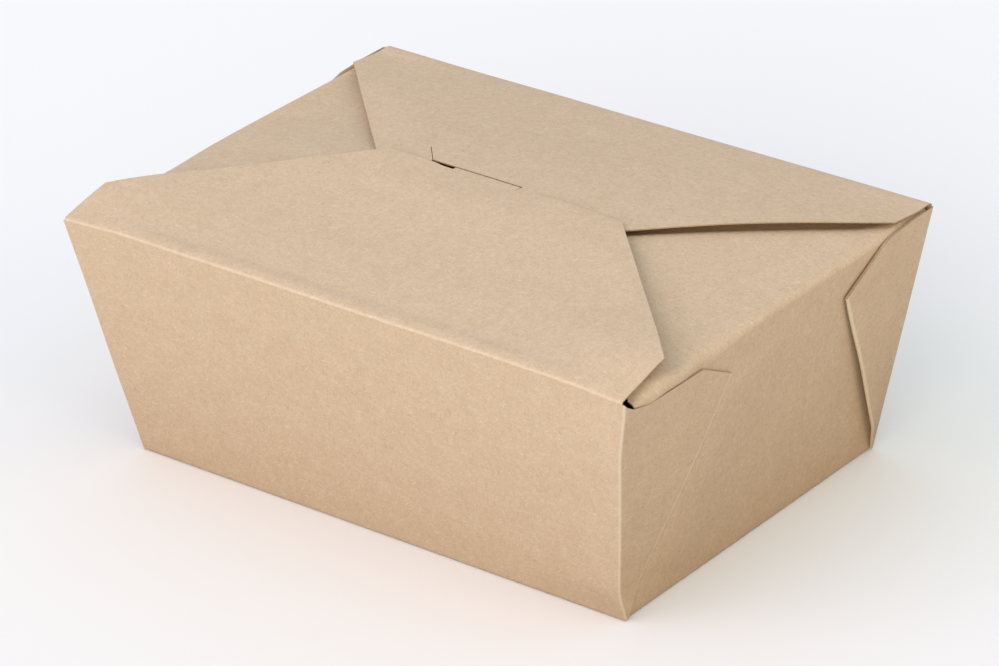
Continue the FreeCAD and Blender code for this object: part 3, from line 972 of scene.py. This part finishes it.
def kraft_surface():
    """Kraft board: cloudy pulp, grain, light and dark fibres, pale creases of worn fibre and
    painted highlight.

    The noises' scales are per millimetre of the flat blank.
    """
    shade = Shading("kraft_board")
    place = shade.attribute("blank", "Vector")
    cloud = shade.noise(place, 0.11, 3.0, 0.55)
    mottle = shade.noise(place, 0.42, 3.0, 0.6)
    grain = shade.noise(place, 1.3, 4.0, 0.7)
    hue = shade.noise(shade.stretched(place, 15, 1, 1, 40.0), 0.3, 3.0, 0.6)
    colour = shade.mix(shade.spread(hue, 0.35, 0.65), rgba(KRAFT_PINK), rgba(KRAFT_OLIVE))
    colour = shade.mix(shade.spread(cloud, 0.32, 0.68, 0.0, 0.20), colour, rgba(KRAFT_DEEP))
    colour = shade.mix(shade.spread(mottle, 0.38, 0.64, 0.20, 0.0), colour, rgba(KRAFT_DEEP))
    colour = shade.mix(shade.spread(grain, 0.38, 0.64, 0.34, 0.0), colour, rgba(KRAFT_DEEP))
    relief = grain
    for number, (angle, length, width, light) in enumerate(FIBRES):
        grid = shade.stretched(place, angle, length, width, 13.0 * (number + 1))
        strand = shade.noise(grid, 1.0, 1.5, 0.5)
        share = shade.spread(strand, 0.60, 0.74, 0.0, 0.46)
        colour = shade.mix(share, colour, rgba(FIBRE_LIGHT if light else FIBRE_DARK))
        relief = shade.math("ADD", relief, share)
    # Creases are painted paler: partly worn fibre, partly a painted highlight of the rounded fold.
    crease_patches = shade.noise(place, 1.6, 4.0, 0.6)
    crease = shade.attribute("crease", "Fac")
    crease_paleness = shade.math("MULTIPLY", crease, shade.spread(crease_patches, 0.3, 0.65, 0.55, 1.0))
    colour = shade.mix(crease_paleness, colour, rgba(CREASE_PALE))
    shade.feed(shade.shader.inputs["Base Color"], colour)
    shade.shader.inputs["Roughness"].default_value = 0.85
    shade.shader.inputs["Specular IOR Level"].default_value = 0.22
    shade.bump(relief, 0.35, 0.00006)
    return shade.material


def cut_surface():
    """The board's cut edge: its brown pulp, torn a little into its plies, darkened by painted
    shade.
    """
    shade = Shading("kraft_cut_edge_painted_shade")
    place = shade.attribute("blank", "Vector")
    fuzz = shade.noise(place, 2.2, 4.0, 0.7)
    # The edge colours are the pulp's brown plus painted shade of the gaps that edges face.
    colour = shade.mix(shade.spread(fuzz, 0.35, 0.65), rgba(CUT_BROWN_AND_SHADE), rgba(CUT_DEEP_BROWN_AND_SHADE))
    shade.feed(shade.shader.inputs["Base Color"], colour)
    shade.shader.inputs["Roughness"].default_value = 0.92
    shade.shader.inputs["Specular IOR Level"].default_value = 0.15
    shade.bump(fuzz, 0.5, 0.0001)
    return shade.material


def floor_surface():
    """A pale floor. What it throws back on the box is weak and warm close to it."""
    shade = Shading("floor_paint")
    place = shade.nodes.new("ShaderNodeNewGeometry").outputs["Position"]
    away = shade.nodes.new("ShaderNodeVectorMath")
    away.operation = "ABSOLUTE"
    shade.feed(away.inputs[0], place)
    beside = shade.nodes.new("ShaderNodeVectorMath")
    beside.operation = "SUBTRACT"
    shade.feed(beside.inputs[0], away.outputs["Vector"])
    beside.inputs[1].default_value = (BASE_HALF_LENGTH * MM, BASE_HALF_WIDTH * MM, 0)
    clear = shade.nodes.new("ShaderNodeVectorMath")
    clear.operation = "MAXIMUM"
    shade.feed(clear.inputs[0], beside.outputs["Vector"])
    clear.inputs[1].default_value = (0, 0, 0)
    length = shade.nodes.new("ShaderNodeVectorMath")
    length.operation = "LENGTH"
    shade.feed(length.inputs[0], clear.outputs["Vector"])
    share = shade.spread(length.outputs["Value"], *FLOOR_BOUNCE_REACH)
    bounce = shade.mix(share, rgba(FLOOR_BOUNCE_NEAR), rgba(FLOOR_BOUNCE_FAR))
    rays = shade.nodes.new("ShaderNodeLightPath").outputs
    mirrored = shade.math("MAXIMUM", rays["Is Glossy Ray"], rays["Is Transmission Ray"])
    seen = shade.math("MAXIMUM", rays["Is Camera Ray"], mirrored)
    colour = shade.mix(seen, bounce, rgba(FLOOR_SEEN))
    shade.feed(shade.shader.inputs["Base Color"], colour)
    shade.shader.inputs["Roughness"].default_value = 0.95
    shade.shader.inputs["Specular IOR Level"].default_value = 0.0
    return shade.material


def make_floor():
    data = bpy.data.meshes.new("floor")
    size = FLOOR_HALF_SIZE
    corners = [(-size, -size, 0), (size, -size, 0), (size, size, 0), (-size, size, 0)]
    data.from_pydata(corners, [], [(0, 1, 2, 3)])
    floor = bpy.data.objects.new("floor", data)
    bpy.context.scene.collection.objects.link(floor)
    data.materials.append(floor_surface())


def add_lamp(name, azimuth, elevation, strength, colour):
    light = bpy.data.lights.new(name, "SUN")
    light.energy = strength * math.pi
    light.angle = math.radians(LAMP_SPREAD)
    light.color = colour
    lamp = bpy.data.objects.new(name, light)
    a, e = math.radians(azimuth), math.radians(elevation)
    back = Vector((math.sin(a) * math.cos(e), -math.cos(a) * math.cos(e), math.sin(e)))
    lamp.rotation_mode = "QUATERNION"
    lamp.rotation_quaternion = back.to_track_quat("Z", "Y")
    bpy.context.scene.collection.objects.link(lamp)


def make_light():
    """Soft light: a cool sky all round, and weak broad lamps in front and to the right."""
    for name, lamp in LAMPS.items():
        add_lamp(name, *lamp)
    world = bpy.data.worlds.new("studio")
    world.use_nodes = True
    background = world.node_tree.nodes["Background"]
    background.inputs["Color"].default_value = rgba(SKY)
    background.inputs["Strength"].default_value = 1.0
    bpy.context.scene.world = world


def make_camera():
    """The camera, placed from the corners of the box in the photograph."""
    azimuth, elevation, roll = (math.radians(angle) for angle in CAMERA_ANGLES)
    back = Vector((
        math.sin(azimuth) * math.cos(elevation),
        -math.cos(azimuth) * math.cos(elevation),
        math.sin(elevation),
    ))
    level = Vector((math.cos(azimuth), math.sin(azimuth), 0))
    upright = back.cross(level)
    right = level * math.cos(roll) + upright * math.sin(roll)
    up = upright * math.cos(roll) - level * math.sin(roll)
    shift = Vector(CAMERA_SHIFT) * MM
    place = -(right * shift.x + up * shift.y + back * shift.z)
    camera_data = bpy.data.cameras.new("camera")
    camera_data.sensor_width = SENSOR_WIDTH
    camera_data.lens = CAMERA_FOCAL / PICTURE_WIDTH * SENSOR_WIDTH
    camera = bpy.data.objects.new("camera", camera_data)
    camera.matrix_world = Matrix((right, up, back)).transposed().to_4x4()
    camera.location = place
    bpy.context.scene.collection.objects.link(camera)
    bpy.context.scene.camera = camera


kraft = kraft_surface()
cut_edge = cut_surface()
carton = make_carton([kraft, cut_edge])
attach(carton, "carton")
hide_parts("carton")

front_flap = make_front_flap([kraft, cut_edge])
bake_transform(front_flap)
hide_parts("front_flap")

make_floor()
make_light()
make_camera()
bpy.context.scene.view_settings.view_transform = "Standard"
